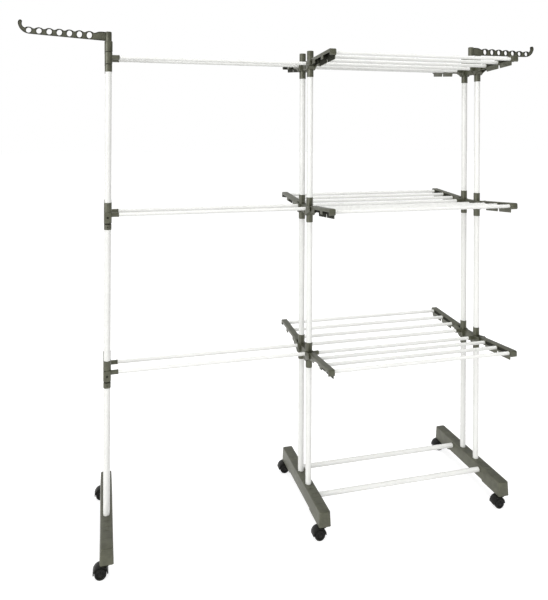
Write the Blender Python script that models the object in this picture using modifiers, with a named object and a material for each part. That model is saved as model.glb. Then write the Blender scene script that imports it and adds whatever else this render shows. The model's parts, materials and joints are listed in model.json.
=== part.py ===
"""Modular clothes drying rack: a tower of three folding tiers with an open extension beside it.

Metres, +Z up. X runs along the rack from the extension to the tower, -Y is the front.
The origin is on the floor, midway between the ends of the two hanger arms.
"""
import math

import bmesh
import bpy
from mathutils import Matrix, Vector

# Overall layout
TOWER_SPACING = 0.690          # middle frame to right frame, between post axes
EXTENSION_SPACING = 0.708      # left frame to middle frame
POST_SPACING = 0.090           # front post to rear post of one frame
LOWEST_TIER_HEIGHT = 0.563     # floor to the axis of the lowest tier's fixed rods
TIER_PITCH = 0.526

# Steel tubes
POST_DIAMETER = 0.0214
POST_WALL = 0.0008
ROD_DIAMETER = 0.0140
ROD_WALL = 0.0006
BASE_ROD_DIAMETER = 0.0180

# Fits
CLEARANCE = 0.0003
OVERRUN = 0.002                # how far every cutter reaches past the face that it opens

# Connectors that tie two posts together at each tier
COLLAR_WALL = 0.0011
COLLAR_ABOVE = 0.041           # from the rod axis to the collar's top
COLLAR_BELOW = 0.049
CAP_ABOVE = 0.046
CAP_THICKNESS = 0.0025
HUB_RADIUS = 0.0168
HUB_DROP = 0.008
HUB_PROUD = 0.0045             # how far the hub's faces stand out past the collar
STUB_DIAMETER = 0.0168
STUB_REACH = 0.036             # from the post axis to the stub's mouth
SOCKET_FLOOR = 0.0015          # plastic left between a rod's socket and the post
SPIGOT_LENGTH = 0.018
BRIDGE_WIDTH = 0.018
BRIDGE_TOP = 0.009
BRIDGE_BOTTOM = 0.020
MOULDED_WALL = 0.0025

# Hanger seats on the top connectors of the two outer frames
SEAT_BOTTOM = 0.018            # above the rod axis
SEAT_TOP = 0.053
SEAT_WALL = 0.0022
SEAT_BOSS_DIAMETER = 0.0250
PEG_DIAMETER = 0.0120
PEG_LENGTH = 0.024

# Blank wing plates on the extension's outer frame
BLANK_WIDTH = 0.022
BLANK_TOP = 0.030
BLANK_BOTTOM = 0.047
BLANK_PROUD = 0.0030

# Folding wings
WING_ROD_COUNT = 3
FIRST_WING_ROD = 0.071         # from the post axis
WING_ROD_PITCH = 0.0745
WING_TILT = math.radians(4.2)
ARM_WIDTH = 0.022
ARM_HEIGHT = 0.022
ARM_TIP = 0.018                # from the last rod's axis to the arm's end
ARM_SOCKET_DEPTH = 0.009
WEB_HALF_LENGTH = 0.009        # plastic left on each side of a rod inside the arm
WINDOW_HEIGHT = 0.010
WINDOW_MARGIN = 0.004
FLAP_DEPTH = 0.008
FLAP_TAPER = 0.005
FLAP_THICKNESS = 0.0019
PIVOT_OUTSET = 0.034           # from the post axis to the wing's hinge pin
PIN_DIAMETER = 0.006

# Feet
FOOT_HALF_LENGTH = 0.226
FOOT_WIDTH = 0.043
FOOT_DRAFT = 0.0025            # taken off each side at the top
FOOT_TOP = 0.0925
FOOT_HEIGHT = 0.0445
SKIRT_DROP = 0.005
SKIRT_LENGTH = 0.105
FOOT_EDGE = 0.003
POST_SOCKET_FLOOR = 0.010
BASE_ROD_SPACING = 0.188
BASE_ROD_DROP = 0.018          # from the foot's top to the rod's axis
BASE_ROD_SOCKET = 0.022

# Casters
CASTER_INSET = 0.0145          # from the foot's end to the stem's axis
CASTER_TRAIL = 0.018
WHEEL_DIAMETER = 0.037
WHEEL_WIDTH = 0.0135
WHEEL_EDGE = 0.002
AXLE_DIAMETER = 0.006
WEB_THICKNESS = 0.007
HOOD_RADIUS = 0.0235
HOOD_LIP = 0.0015              # how far the hood reaches below the axle
WELL_CLEARANCE = 0.0012
STEM_DIAMETER = 0.008
STEM_LENGTH = 0.024
STEM_COLLAR_DIAMETER = 0.018

# Hanger arms
SLEEVE_DIAMETER = 0.0215
SLEEVE_HEIGHT = 0.0370
HANGER_THICKNESS = 0.009
HANGER_HOLE_COUNT = 7
FIRST_HOLE = 0.0635            # from the stem axis
HOLE_WIDTH = 0.0180
FIRST_HOLE_HEIGHT = 0.0205
LAST_HOLE_HEIGHT = 0.0140
HANGER_LOW_EDGE = 0.0060       # the arm's lower edge at the sleeve, above the sleeve's foot
HANGER_RISE = {"left": math.radians(3.3), "right": math.radians(0.3)}
HOLE_RIM = 0.0042              # plastic over and under each hole
VALLEY_DEPTH = 0.0070
HOOK_REACH = 0.2905            # from the stem axis to the hook's outer side
HOOK_BEND = 0.0350             # from the last hole to the hook's outer side
HOOK_RISE = 0.0215
HOOK_THICKNESS = 0.0120
HANGER_CREST_SHARE = 0.22      # of the hole pitch, from a crest's middle to its shoulders
HANGER_SHOULDER_SHARE = 0.25   # of the valley's depth, how far the shoulders lie under the crest
HANGER_NECK_SHARE = 1.5        # of the sleeve's diameter, where the scallops begin

# Facets
POST_SIDES = 10
HUB_SIDES = 8
ROD_SIDES = 8
WHEEL_SIDES = 12

TIERS = ("bottom", "middle", "top")
ENDS = (("front", -1), ("rear", 1))
FRAME_X = {
    "left": -(TOWER_SPACING + EXTENSION_SPACING) / 2,
    "mid": (EXTENSION_SPACING - TOWER_SPACING) / 2,
    "right": (TOWER_SPACING + EXTENSION_SPACING) / 2,
}

POST_RADIUS = POST_DIAMETER / 2
ROD_RADIUS = ROD_DIAMETER / 2
COLLAR_RADIUS = POST_RADIUS + CLEARANCE + COLLAR_WALL
SOCKET_START = POST_RADIUS + CLEARANCE + SOCKET_FLOOR
POST_Y = POST_SPACING / 2
CASTER_Y = FOOT_HALF_LENGTH - CASTER_INSET
FOOT_BOTTOM = FOOT_TOP - FOOT_HEIGHT
CHANNEL_HALF_WIDTH = ARM_WIDTH / 2 - MOULDED_WALL
LUG_HALF_WIDTH = CHANNEL_HALF_WIDTH - CLEARANCE
HUB_HALF_LENGTH = COLLAR_RADIUS + HUB_PROUD
PIVOT_RISE = PIVOT_OUTSET * math.tan(WING_TILT)
LAST_WING_ROD = (FIRST_WING_ROD - PIVOT_OUTSET) / math.cos(WING_TILT) + WING_ROD_PITCH * (WING_ROD_COUNT - 1)
LAST_HOLE = HOOK_REACH - HOOK_BEND
HANGER_HOLE_PITCH = (LAST_HOLE - FIRST_HOLE) / (HANGER_HOLE_COUNT - 1)

PLASTIC_COLOUR = (0.115, 0.118, 0.098)
ENAMEL_COLOUR = (0.86, 0.86, 0.84)
CASTER_COLOUR = (0.012, 0.012, 0.013)


def tier_height(tier):
    """Height of the fixed rods' axis on a tier."""
    return LOWEST_TIER_HEIGHT + TIER_PITCH * TIERS.index(tier)


def clear_scene():
    for item in list(bpy.data.objects):
        bpy.data.objects.remove(item, do_unlink=True)


def make_material(name, colour, roughness):
    material = bpy.data.materials.new(name)
    material.use_nodes = True
    shader = material.node_tree.nodes["Principled BSDF"]
    shader.inputs["Base Color"].default_value = (*colour, 1.0)
    shader.inputs["Roughness"].default_value = roughness
    shader.inputs["Metallic"].default_value = 0.0
    return material


def add_object(data):
    """Link a mesh or a curve to the rack's collection under a working name."""
    item = bpy.data.objects.new("work", data)
    rack.objects.link(item)
    return item


def baked(item):
    """Replace an object by the plain mesh that its curve and modifiers give."""
    bpy.context.view_layer.update()
    graph = bpy.context.evaluated_depsgraph_get()
    mesh = bpy.data.meshes.new_from_object(item.evaluated_get(graph))
    shape = bmesh.new()
    shape.from_mesh(mesh)
    bmesh.ops.remove_doubles(shape, verts=shape.verts, dist=CLEARANCE / 100)
    shape.transform(item.matrix_world)
    shape.to_mesh(mesh)
    shape.free()
    bpy.data.objects.remove(item)
    return add_object(mesh)


def block(low, high):
    """Box between two corners."""
    low, high = Vector(low), Vector(high)
    shape = bmesh.new()
    bmesh.ops.create_cube(shape, size=1)
    bmesh.ops.scale(shape, verts=shape.verts, vec=high - low)
    bmesh.ops.translate(shape, verts=shape.verts, vec=(high + low) / 2)
    mesh = bpy.data.meshes.new("block")
    shape.to_mesh(mesh)
    shape.free()
    return add_object(mesh)


def cylinder(radius, start, end, sides):
    """Solid cylinder between two points, its corners turned like those of a tube."""
    start, end = Vector(start), Vector(end)
    along = end - start
    shape = bmesh.new()
    bmesh.ops.create_cone(shape, cap_ends=True, segments=sides, radius1=radius, radius2=radius,
                          depth=along.length)
    turn = Vector((0, 0, 1)).rotation_difference(along.normalized()).to_matrix().to_4x4()
    spin = Matrix.Rotation(math.radians(90), 4, "Z")
    shape.transform(Matrix.Translation((start + end) / 2) @ turn @ spin)
    mesh = bpy.data.meshes.new("cylinder")
    shape.to_mesh(mesh)
    shape.free()
    return add_object(mesh)


def bearing(diameter, start, end):
    """Cutter for a round hole whose flats still clear a pin of this diameter as it turns."""
    radius = (diameter / 2 + CLEARANCE) / math.cos(math.pi / ROD_SIDES)
    return cylinder(radius, start, end, ROD_SIDES)


def turned(profile, sides, place):
    """Revolve (radius, height) points, listed down the outer side, and put the result in place."""
    mesh = bpy.data.meshes.new("profile")
    points = [(radius, 0, height) for radius, height in profile]
    links = [(i, i + 1) for i in range(len(points) - 1)]
    if profile[0][0] > 0:
        links.append((len(points) - 1, 0))
    mesh.from_pydata(points, links, [])
    item = add_object(mesh)
    screw = item.modifiers.new("turn", "SCREW")
    screw.steps = sides
    screw.render_steps = sides
    screw.use_merge_vertices = True
    screw.merge_threshold = CLEARANCE / 100
    item.matrix_world = place
    return baked(item)


def tube(diameter, wall, start, end, sides):
    """Open tube between two points."""
    start, end = Vector(start), Vector(end)
    along = end - start
    outer = diameter / 2
    half = along.length / 2
    profile = [(outer, half), (outer, -half), (outer - wall, -half), (outer - wall, half)]
    turn = Vector((0, 0, 1)).rotation_difference(along.normalized()).to_matrix().to_4x4()
    return turned(profile, sides, Matrix.Translation((start + end) / 2) @ turn)


def plate(outlines, thickness, place):
    """Flat piece from closed outlines, the later ones being holes, with its middle plane at XY."""
    curve = bpy.data.curves.new("outline", "CURVE")
    curve.dimensions = "2D"
    curve.fill_mode = "BOTH"
    curve.extrude = thickness / 2
    for outline in outlines:
        spline = curve.splines.new("POLY")
        spline.points.add(len(outline) - 1)
        for point, (across, up) in zip(spline.points, outline):
            point.co = (across, up, 0, 1)
        spline.use_cyclic_u = True
    item = add_object(curve)
    item.matrix_world = place
    return baked(item)


def arc(centre, radius, start, end, count):
    """Points along an arc, angles in degrees, both ends included."""
    angles = [math.radians(start + (end - start) * i / count) for i in range(count + 1)]
    return [(centre[0] + radius * math.cos(a), centre[1] + radius * math.sin(a)) for a in angles]


def combine(base, joins=(), cuts=()):
    """Fuse pieces into the base, take cutters out of it and keep one plain mesh."""
    for operation, tools in (("UNION", joins), ("DIFFERENCE", cuts)):
        for tool in tools:
            boolean = base.modifiers.new(operation, "BOOLEAN")
            boolean.operation = operation
            boolean.object = tool
    result = baked(base)
    shape = bmesh.new()
    shape.from_mesh(result.data)
    bmesh.ops.dissolve_limit(shape, angle_limit=math.radians(0.3), verts=shape.verts, edges=shape.edges)
    shape.to_mesh(result.data)
    shape.free()
    for tool in (*joins, *cuts):
        bpy.data.objects.remove(tool)
    return result


def finish(item, name, material, origin):
    """Name a piece, move its origin to a point on it and smooth its round faces."""
    item.data.transform(Matrix.Translation(-Vector(origin)))
    item.location = origin
    item.name = name
    item.data.name = name
    item.data.materials.clear()
    item.data.materials.append(material)
    item.data.shade_smooth()
    item.data.set_sharp_from_angle(angle=math.radians(50))
    return item


# The YZ plane as seen along X: outlines are drawn as (y, z)
SIDE_VIEW = Matrix(((0, 0, 1, 0), (1, 0, 0, 0), (0, 1, 0, 0), (0, 0, 0, 1)))
# The XZ plane as seen along Y: outlines are drawn as (x, z)
FRONT_VIEW = Matrix(((1, 0, 0, 0), (0, 0, 1, 0), (0, 1, 0, 0), (0, 0, 0, 1)))


def stadium(start, end, radius, sides):
    """Outline of a bar with round ends between two points of a plane."""
    heading = math.degrees(math.atan2(end[1] - start[1], end[0] - start[0]))
    far = arc(end, radius, heading - 90, heading + 90, sides // 2)
    near = arc(start, radius, heading + 90, heading + 270, sides // 2)
    return far + near


def make_posts():
    """Six white tubes, each from its foot through its three connectors."""
    for frame, x in FRAME_X.items():
        top = SEAT_TOP if frame != "mid" else CAP_ABOVE
        top_end = tier_height("top") + top - CAP_THICKNESS - CLEARANCE
        low_end = FOOT_BOTTOM + POST_SOCKET_FLOOR + CLEARANCE
        for end, side in ENDS:
            y = side * POST_Y
            post = tube(POST_DIAMETER, POST_WALL, (x, y, low_end), (x, y, top_end), POST_SIDES)
            finish(post, f"{frame}_{end}_post", enamel, (x, y, low_end))


def hub_pieces(frame, inward, z, y, side):
    """Fused and cut shapes of one post's half of a connector."""
    x = FRAME_X[frame]
    joins = [cylinder(STUB_DIAMETER / 2, (x, y, z), (x + inward * STUB_REACH, y, z), ROD_SIDES)]
    cuts = [
        cylinder(ROD_RADIUS + CLEARANCE, (x + inward * SOCKET_START, y, z),
                 (x + inward * (STUB_REACH + OVERRUN), y, z), ROD_SIDES),
    ]
    if frame == "mid":
        spigot_radius = ROD_RADIUS - ROD_WALL - CLEARANCE
        spigot_end = x - HUB_HALF_LENGTH - SPIGOT_LENGTH
        joins.append(cylinder(spigot_radius, (x - SOCKET_START, y, z), (spigot_end, y, z), ROD_SIDES))
    if frame == "left":
        face = y + side * (COLLAR_RADIUS + BLANK_PROUD)
        half = BLANK_WIDTH / 2
        outline = arc((x, z - BLANK_BOTTOM + half), half, 180, 360, ROD_SIDES // 2)
        outline += [(x + half, z + BLANK_TOP), (x - half, z + BLANK_TOP)]
        middle = Matrix.Translation((0, (y + face) / 2, 0))
        joins.append(plate([outline], abs(face - y), middle @ FRONT_VIEW))
    else:
        joins.append(cylinder(HUB_RADIUS, (x - HUB_HALF_LENGTH, y, z - HUB_DROP),
                              (x + HUB_HALF_LENGTH, y, z - HUB_DROP), HUB_SIDES))
        pivot = (y + side * PIVOT_OUTSET, z + PIVOT_RISE)
        outline = stadium((y, z), pivot, ARM_HEIGHT / 2 - MOULDED_WALL - CLEARANCE, ROD_SIDES)
        joins.append(plate([outline], 2 * LUG_HALF_WIDTH, Matrix.Translation((x, 0, 0)) @ SIDE_VIEW))
        reach = LUG_HALF_WIDTH + OVERRUN
        cuts.append(bearing(PIN_DIAMETER, (x - reach, *pivot), (x + reach, *pivot)))
    return joins, cuts


def make_connector(frame, tier):
    """One moulding that ties a frame's two posts together and holds the tier's rods and wings."""
    x, z = FRAME_X[frame], tier_height(tier)
    inward = -1 if frame == "right" else 1
    capped = tier == "top"
    seated = capped and frame != "mid"
    top = SEAT_TOP if seated else CAP_ABOVE if capped else COLLAR_ABOVE
    half = BRIDGE_WIDTH / 2
    bridge = block((x - half, -POST_Y, z - BRIDGE_BOTTOM), (x + half, POST_Y, z + BRIDGE_TOP))
    inner_y = POST_Y - COLLAR_RADIUS - MOULDED_WALL
    pocket = half - MOULDED_WALL
    cuts = [block((x - pocket, -inner_y, z - BRIDGE_BOTTOM - OVERRUN),
                  (x + pocket, inner_y, z + BRIDGE_TOP - MOULDED_WALL))]
    joins = []
    for end, side in ENDS:
        y = side * POST_Y
        joins.append(cylinder(COLLAR_RADIUS, (x, y, z - COLLAR_BELOW), (x, y, z + top), POST_SIDES))
        bore_top = z + top + (-CAP_THICKNESS if capped else OVERRUN)
        cuts.append(cylinder(POST_RADIUS + CLEARANCE, (x, y, z - COLLAR_BELOW - OVERRUN),
                             (x, y, bore_top), POST_SIDES))
        if seated:
            joins.append(cylinder(POST_RADIUS + CLEARANCE + SEAT_WALL, (x, y, z + SEAT_BOTTOM),
                                  (x, y, z + SEAT_TOP), POST_SIDES))
        more_joins, more_cuts = hub_pieces(frame, inward, z, y, side)
        joins += more_joins
        cuts += more_cuts
    if seated:
        joins.append(block((x - half, -POST_Y, z + SEAT_BOTTOM), (x + half, POST_Y, z + SEAT_TOP)))
        joins.append(cylinder(SEAT_BOSS_DIAMETER / 2, (x, 0, z + SEAT_BOTTOM), (x, 0, z + SEAT_TOP),
                              POST_SIDES))
        cuts.append(bearing(PEG_DIAMETER, (x, 0, z + SEAT_TOP - PEG_LENGTH - CLEARANCE),
                            (x, 0, z + SEAT_TOP + OVERRUN)))
    connector = combine(bridge, joins, cuts)
    finish(connector, f"{frame}_{tier}_connector", plastic, (x, 0, z))


def make_fixed_rods():
    """Straight rods between the frames, two to a tier in the tower and in the extension."""
    outer_socket = SOCKET_START + CLEARANCE
    for tier in TIERS:
        z = tier_height(tier)
        for end, side in ENDS:
            y = side * POST_Y
            start = FRAME_X["mid"] + outer_socket
            stop = FRAME_X["right"] - outer_socket
            rod = tube(ROD_DIAMETER, ROD_WALL, (start, y, z), (stop, y, z), ROD_SIDES)
            finish(rod, f"tower_{tier}_{end}_rod", enamel, (start, y, z))
            start = FRAME_X["left"] + outer_socket
            stop = FRAME_X["mid"] - HUB_HALF_LENGTH - CLEARANCE
            rod = tube(ROD_DIAMETER, ROD_WALL, (start, y, z), (stop, y, z), ROD_SIDES)
            finish(rod, f"extension_{tier}_{end}_rod", enamel, (start, y, z))


def arm_solid(facing, side, sockets):
    """Channel-shaped wing arm about its hinge pin, running out along side * Y, open side down.

    facing is the X direction in which the rods lie.
    """
    radius = ARM_HEIGHT / 2
    rods = [LAST_WING_ROD - WING_ROD_PITCH * i for i in reversed(range(WING_ROD_COUNT))]
    inner_face = facing * ARM_WIDTH / 2
    outline = [(side * a, b) for a, b in stadium((0, 0), (LAST_WING_ROD + ARM_TIP - radius, 0), radius, ROD_SIDES)]
    body = plate([outline], ARM_WIDTH, SIDE_VIEW)
    joins = []
    cuts = []
    starts = [-radius - OVERRUN] + [a + WEB_HALF_LENGTH for a in rods[:-1]]
    for start, rod in zip(starts, rods):
        stop = rod - WEB_HALF_LENGTH
        lows = (-CHANNEL_HALF_WIDTH, min(side * start, side * stop), -radius - OVERRUN)
        highs = (CHANNEL_HALF_WIDTH, max(side * start, side * stop), radius - MOULDED_WALL)
        cuts.append(block(lows, highs))
    for inner, outer in zip(rods, rods[1:]):
        near, far = inner + WEB_HALF_LENGTH, outer - WEB_HALF_LENGTH
        reach = [side * (near + WINDOW_MARGIN), side * (far - WINDOW_MARGIN)]
        depth = [-facing * (CHANNEL_HALF_WIDTH - OVERRUN), -facing * (ARM_WIDTH / 2 + OVERRUN)]
        cuts.append(block((min(depth), min(reach), -WINDOW_HEIGHT / 2), (max(depth), max(reach), WINDOW_HEIGHT / 2)))
        flap = [(side * near, 0), (side * far, 0), (side * (far - FLAP_TAPER), -radius - FLAP_DEPTH),
                (side * (near + FLAP_TAPER), -radius - FLAP_DEPTH)]
        middle = inner_face - facing * MOULDED_WALL / 2
        joins.append(plate([flap], FLAP_THICKNESS, Matrix.Translation((middle, 0, 0)) @ SIDE_VIEW))
    if sockets:
        floor = inner_face - facing * ARM_SOCKET_DEPTH
        for rod in rods:
            cuts.append(cylinder(ROD_RADIUS + CLEARANCE, (floor, side * rod, 0),
                                 (inner_face + facing * OVERRUN, side * rod, 0), ROD_SIDES))
    arm = combine(body, (), cuts)
    pin = cylinder(PIN_DIAMETER / 2, (-CHANNEL_HALF_WIDTH - MOULDED_WALL / 2, 0, 0),
                   (CHANNEL_HALF_WIDTH + MOULDED_WALL / 2, 0, 0), ROD_SIDES)
    return combine(arm, [*joins, pin]), rods


def make_wing(tier, end, side):
    """Folding wing: one arm with its three rods fixed in it, and the far arm that they plug into."""
    z = tier_height(tier) + PIVOT_RISE
    y = side * (POST_Y + PIVOT_OUTSET)
    near_x, far_x = FRAME_X["mid"], FRAME_X["right"]
    tilt = Matrix.Rotation(side * WING_TILT, 4, "X")
    arm, rods = arm_solid(1, side, False)
    rod_end = far_x - near_x - ARM_WIDTH / 2 + ARM_SOCKET_DEPTH - CLEARANCE
    tubes = [tube(ROD_DIAMETER, ROD_WALL, (0, side * rod, 0), (rod_end, side * rod, 0), ROD_SIDES)
             for rod in rods]
    arm = combine(arm, tubes)
    arm.data.transform(Matrix.Translation((near_x, y, z)) @ tilt)
    finish(arm, f"{end}_{tier}_wing_rods", enamel, (near_x, y, z))
    arm.data.materials.append(plastic)
    for face in arm.data.polygons:
        if face.center.x < ARM_WIDTH / 2 + CLEARANCE:
            face.material_index = 1
    arm, rods = arm_solid(-1, side, True)
    arm.data.transform(Matrix.Translation((far_x, y, z)) @ tilt)
    finish(arm, f"{end}_{tier}_wing_arm", plastic, (far_x, y, z))


def make_foot(frame):
    """Hollow moulded beam under one frame, with sockets for posts, casters and base rods."""
    x = FRAME_X[frame]
    half = FOOT_WIDTH / 2
    skirt = FOOT_BOTTOM - SKIRT_DROP
    step = FOOT_HALF_LENGTH - SKIRT_LENGTH
    outline = [(-FOOT_HALF_LENGTH, skirt), (-step, skirt), (-step + SKIRT_DROP, FOOT_BOTTOM),
               (step - SKIRT_DROP, FOOT_BOTTOM), (step, skirt), (FOOT_HALF_LENGTH, skirt),
               (FOOT_HALF_LENGTH, FOOT_TOP - FOOT_EDGE), (FOOT_HALF_LENGTH - FOOT_EDGE, FOOT_TOP),
               (FOOT_EDGE - FOOT_HALF_LENGTH, FOOT_TOP), (-FOOT_HALF_LENGTH, FOOT_TOP - FOOT_EDGE)]
    foot = plate([outline], FOOT_WIDTH, Matrix.Translation((x, 0, 0)) @ SIDE_VIEW)
    for corner in foot.data.vertices:
        rise = (corner.co.z - skirt) / (FOOT_TOP - skirt)
        corner.co.x += (x - corner.co.x) / half * FOOT_DRAFT * rise
    base_y = BASE_ROD_SPACING / 2
    rod_wall = BASE_ROD_DIAMETER / 2 + MOULDED_WALL
    post_wall = POST_RADIUS + MOULDED_WALL
    edges = [POST_Y - post_wall, POST_Y + post_wall, base_y - rod_wall, base_y + rod_wall,
             CASTER_Y - STEM_COLLAR_DIAMETER / 2]
    edges = sorted(edges + [-edge for edge in edges])
    pocket = half - FOOT_DRAFT - MOULDED_WALL
    cuts = []
    for low, high in zip(edges[::2], edges[1::2]):
        cuts.append(block((x - pocket, low, skirt - OVERRUN),
                          (x + pocket, high, FOOT_TOP - MOULDED_WALL)))
    for end, side in ENDS:
        y = side * POST_Y
        cuts.append(cylinder(POST_RADIUS + CLEARANCE, (x, y, FOOT_BOTTOM + POST_SOCKET_FLOOR),
                             (x, y, FOOT_TOP + OVERRUN), POST_SIDES))
        y = side * CASTER_Y
        cuts.append(bearing(STEM_DIAMETER, (x, y, skirt - OVERRUN),
                            (x, y, skirt + STEM_LENGTH + CLEARANCE)))
        if frame != "left":
            inward = 1 if frame == "mid" else -1
            y = side * base_y
            z = FOOT_TOP - BASE_ROD_DROP
            mouth = x + inward * half
            cuts.append(cylinder(BASE_ROD_DIAMETER / 2 + CLEARANCE,
                                 (mouth - inward * BASE_ROD_SOCKET, y, z),
                                 (mouth + inward * OVERRUN, y, z), ROD_SIDES))
    foot = combine(foot, (), cuts)
    finish(foot, f"{frame}_foot", plastic, (x, 0, FOOT_TOP))


def make_base_rods():
    """Two thicker rods low down between the tower's feet."""
    for end, side in ENDS:
        y = side * BASE_ROD_SPACING / 2
        z = FOOT_TOP - BASE_ROD_DROP
        depth = FOOT_WIDTH / 2 - BASE_ROD_SOCKET + CLEARANCE
        start, stop = FRAME_X["mid"] + depth, FRAME_X["right"] - depth
        rod = tube(BASE_ROD_DIAMETER, ROD_WALL, (start, y, z), (stop, y, z), ROD_SIDES)
        finish(rod, f"base_{end}_rod", enamel, (start, y, z))


def make_caster(frame, end, side):
    """Twin-wheel swivel caster: a hood with its stem, and a pair of wheels on one axle."""
    x, y = FRAME_X[frame], side * CASTER_Y
    wheel_radius = WHEEL_DIAMETER / 2
    axle_x, axle_z = x - CASTER_TRAIL, wheel_radius
    half_web = WEB_THICKNESS / 2
    wheel_start = half_web + CLEARANCE
    wheel_end = wheel_start + WHEEL_WIDTH
    hood_half = wheel_end - WHEEL_EDGE
    skirt = FOOT_BOTTOM - SKIRT_DROP
    hood = cylinder(HOOD_RADIUS, (axle_x, y - hood_half, axle_z), (axle_x, y + hood_half, axle_z), WHEEL_SIDES)
    low = block((axle_x - WHEEL_DIAMETER, y - WHEEL_DIAMETER, -WHEEL_DIAMETER),
                (axle_x + WHEEL_DIAMETER, y + WHEEL_DIAMETER, axle_z - HOOD_LIP))
    wells = []
    well_radius = wheel_radius + WELL_CLEARANCE
    for turn in (-1, 1):
        wells.append(cylinder(well_radius, (axle_x, y + turn * half_web, axle_z),
                              (axle_x, y + turn * (hood_half + OVERRUN), axle_z), WHEEL_SIDES))
    hood = combine(hood, (), [low, *wells])
    eye = cylinder(AXLE_DIAMETER / 2 + 2 * MOULDED_WALL, (axle_x, y - half_web, axle_z),
                   (axle_x, y + half_web, axle_z), ROD_SIDES)
    collar_base = (x, y, axle_z + wheel_radius + WELL_CLEARANCE + CLEARANCE)
    collar = cylinder(STEM_COLLAR_DIAMETER / 2, collar_base, (x, y, skirt - CLEARANCE), ROD_SIDES)
    stem = cylinder(STEM_DIAMETER / 2, collar_base, (x, y, skirt + STEM_LENGTH), ROD_SIDES)
    bore = bearing(AXLE_DIAMETER, (axle_x, y - WHEEL_DIAMETER, axle_z),
                   (axle_x, y + WHEEL_DIAMETER, axle_z))
    hood = combine(hood, [eye, collar, stem], [bore])
    finish(hood, f"{frame}_{end}_caster_hood", caster_black, (x, y, skirt))
    axle = AXLE_DIAMETER / 2
    half_profile = [(wheel_radius, wheel_end), (wheel_radius, wheel_start), (axle, wheel_start)]
    profile = [(0, wheel_end), *half_profile, *[(r, -h) for r, h in reversed(half_profile)], (0, -wheel_end)]
    lay = Matrix.Translation((axle_x, y, axle_z)) @ Matrix.Rotation(math.radians(90), 4, "X")
    wheels = turned(profile, WHEEL_SIDES, lay)
    finish(wheels, f"{frame}_{end}_caster_wheels", caster_black, (axle_x, y, axle_z))


def hanger_outline(rise):
    """Outline and holes of a hanger arm as (distance from the stem axis, height above the sleeve's foot)."""
    start = SLEEVE_DIAMETER / 4
    holes = []
    for i in range(HANGER_HOLE_COUNT):
        share = i / (HANGER_HOLE_COUNT - 1)
        height = FIRST_HOLE_HEIGHT + (LAST_HOLE_HEIGHT - FIRST_HOLE_HEIGHT) * share
        holes.append((FIRST_HOLE + HANGER_HOLE_PITCH * i, HANGER_LOW_EDGE + HOLE_RIM + height / 2, height))
    outline = [(start, HANGER_LOW_EDGE), (LAST_HOLE, HANGER_LOW_EDGE)]
    hook_x = HOOK_REACH - HOOK_THICKNESS / 2
    crest = HANGER_LOW_EDGE + LAST_HOLE_HEIGHT + 2 * HOLE_RIM
    outline += arc((LAST_HOLE, HANGER_LOW_EDGE + HOOK_BEND), HOOK_BEND, -60, -15, 4)
    outline += arc((hook_x, crest + HOOK_RISE - HOOK_THICKNESS / 2), HOOK_THICKNESS / 2, 0, 180, 6)
    outline += arc((LAST_HOLE + HOLE_WIDTH / 2, crest + HOOK_THICKNESS / 2),
                   hook_x - HOOK_THICKNESS / 2 - LAST_HOLE - HOLE_WIDTH / 2, 0, -75, 4)
    shoulder = HANGER_HOLE_PITCH * HANGER_CREST_SHARE
    for s, h, height in reversed(holes):
        top = h + height / 2 + HOLE_RIM
        side_top = top - VALLEY_DEPTH * HANGER_SHOULDER_SHARE
        outline += [(s + shoulder, side_top), (s, top), (s - shoulder, side_top),
                    (s - HANGER_HOLE_PITCH / 2, top - VALLEY_DEPTH)]
    outline += [(SLEEVE_DIAMETER * HANGER_NECK_SHARE, SLEEVE_HEIGHT), (start, SLEEVE_HEIGHT)]

    def raised(s, h):
        run, up = s - start, h - HANGER_LOW_EDGE
        return (start + run * math.cos(rise) - up * math.sin(rise),
                HANGER_LOW_EDGE + run * math.sin(rise) + up * math.cos(rise))

    return [raised(s, h) for s, h in outline], [(*raised(s, h), height) for s, h, height in holes]


def make_hanger(frame, outward):
    """Perforated arm for clothes hangers, turning on a peg in the top connector."""
    x = FRAME_X[frame]
    z = tier_height("top") + SEAT_TOP + CLEARANCE
    outline, holes = hanger_outline(HANGER_RISE[frame])
    outlines = [[(x + outward * s, z + h) for s, h in outline]]
    for s, h, height in holes:
        ring = arc((0, 0), 1, 0, 360, ROD_SIDES)[:-1]
        outlines.append([(x + outward * (s + HOLE_WIDTH / 2 * c), z + h + height / 2 * d) for c, d in ring])
    arm = plate(outlines, HANGER_THICKNESS, FRONT_VIEW)
    sleeve = cylinder(SLEEVE_DIAMETER / 2, (x, 0, z), (x, 0, z + SLEEVE_HEIGHT + CLEARANCE), POST_SIDES)
    peg = cylinder(PEG_DIAMETER / 2, (x, 0, z - PEG_LENGTH), (x, 0, z + HANGER_LOW_EDGE), ROD_SIDES)
    arm = combine(sleeve, [arm, peg])
    finish(arm, f"{frame}_hanger_arm", plastic, (x, 0, z))


clear_scene()
rack = bpy.data.collections.new("clothes_drying_rack")
bpy.context.scene.collection.children.link(rack)
plastic = make_material("grey_plastic", PLASTIC_COLOUR, 0.55)
enamel = make_material("white_enamel", ENAMEL_COLOUR, 0.35)
caster_black = make_material("caster_black", CASTER_COLOUR, 0.5)

make_posts()
make_fixed_rods()
make_base_rods()
for frame in FRAME_X:
    make_foot(frame)
    for tier in TIERS:
        make_connector(frame, tier)
    for end, side in ENDS:
        make_caster(frame, end, side)
for tier in TIERS:
    for end, side in ENDS:
        make_wing(tier, end, side)
make_hanger("left", -1)
make_hanger("right", 1)
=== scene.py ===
import json
import math
import bmesh
import bpy
from mathutils import Matrix, Vector


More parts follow.
